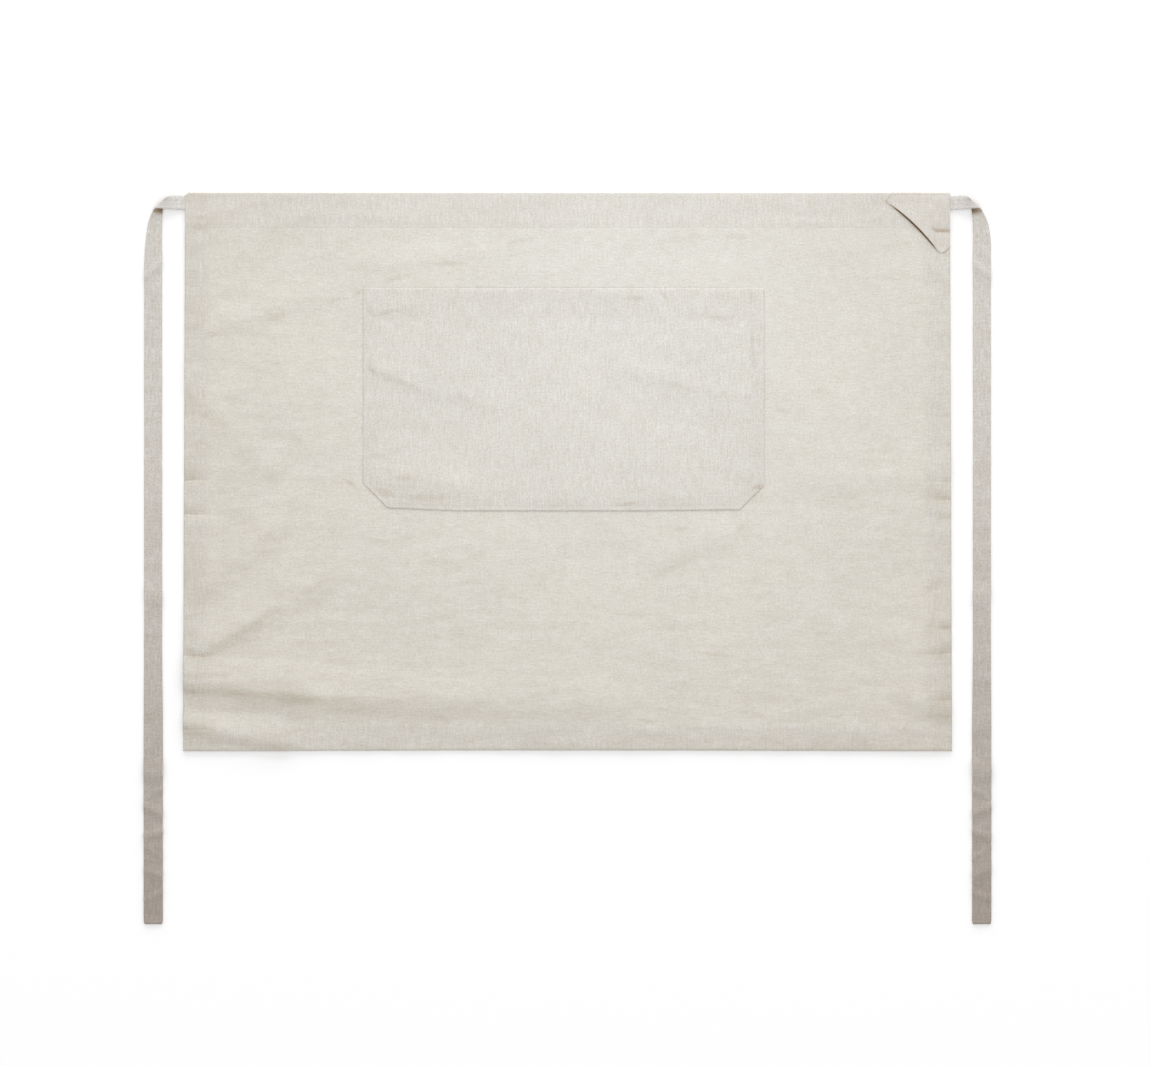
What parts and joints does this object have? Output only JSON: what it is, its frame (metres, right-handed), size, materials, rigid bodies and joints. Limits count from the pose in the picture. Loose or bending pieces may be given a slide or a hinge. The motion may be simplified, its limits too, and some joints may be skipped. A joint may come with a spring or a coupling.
{
  "type": "waist apron",
  "caption": "Half-length linen waist apron lying flat, with a folded waistband, a wide patch pocket, a corner towel loop and two tape ties.",
  "frame": {"origin": "middle of the whole lying apron, ties included, on the surface that it lies on", "axes": "+X across the front, +Y up towards the waistband, +Z out of the front of the cloth"},
  "size_m": [0.8832, 0.7624, 0.0126],
  "materials": {
    "panel_linen": "plain woven washed linen, matt",
    "band_linen": "plain woven washed linen, folded double, matt",
    "pocket_linen": "plain woven washed linen, matt",
    "loop_linen": "plain woven washed linen, sewn double, matt",
    "tape_linen": "narrow folded and stitched linen tape, matt"
  },
  "bodies": {
    "root": {"apron_panel": "panel_linen", "waistband": "band_linen", "pocket": "pocket_linen", "towel_loop": "loop_linen", "tie_right": "tape_linen", "tie_left": "tape_linen"}
  },
  "joints": []
}
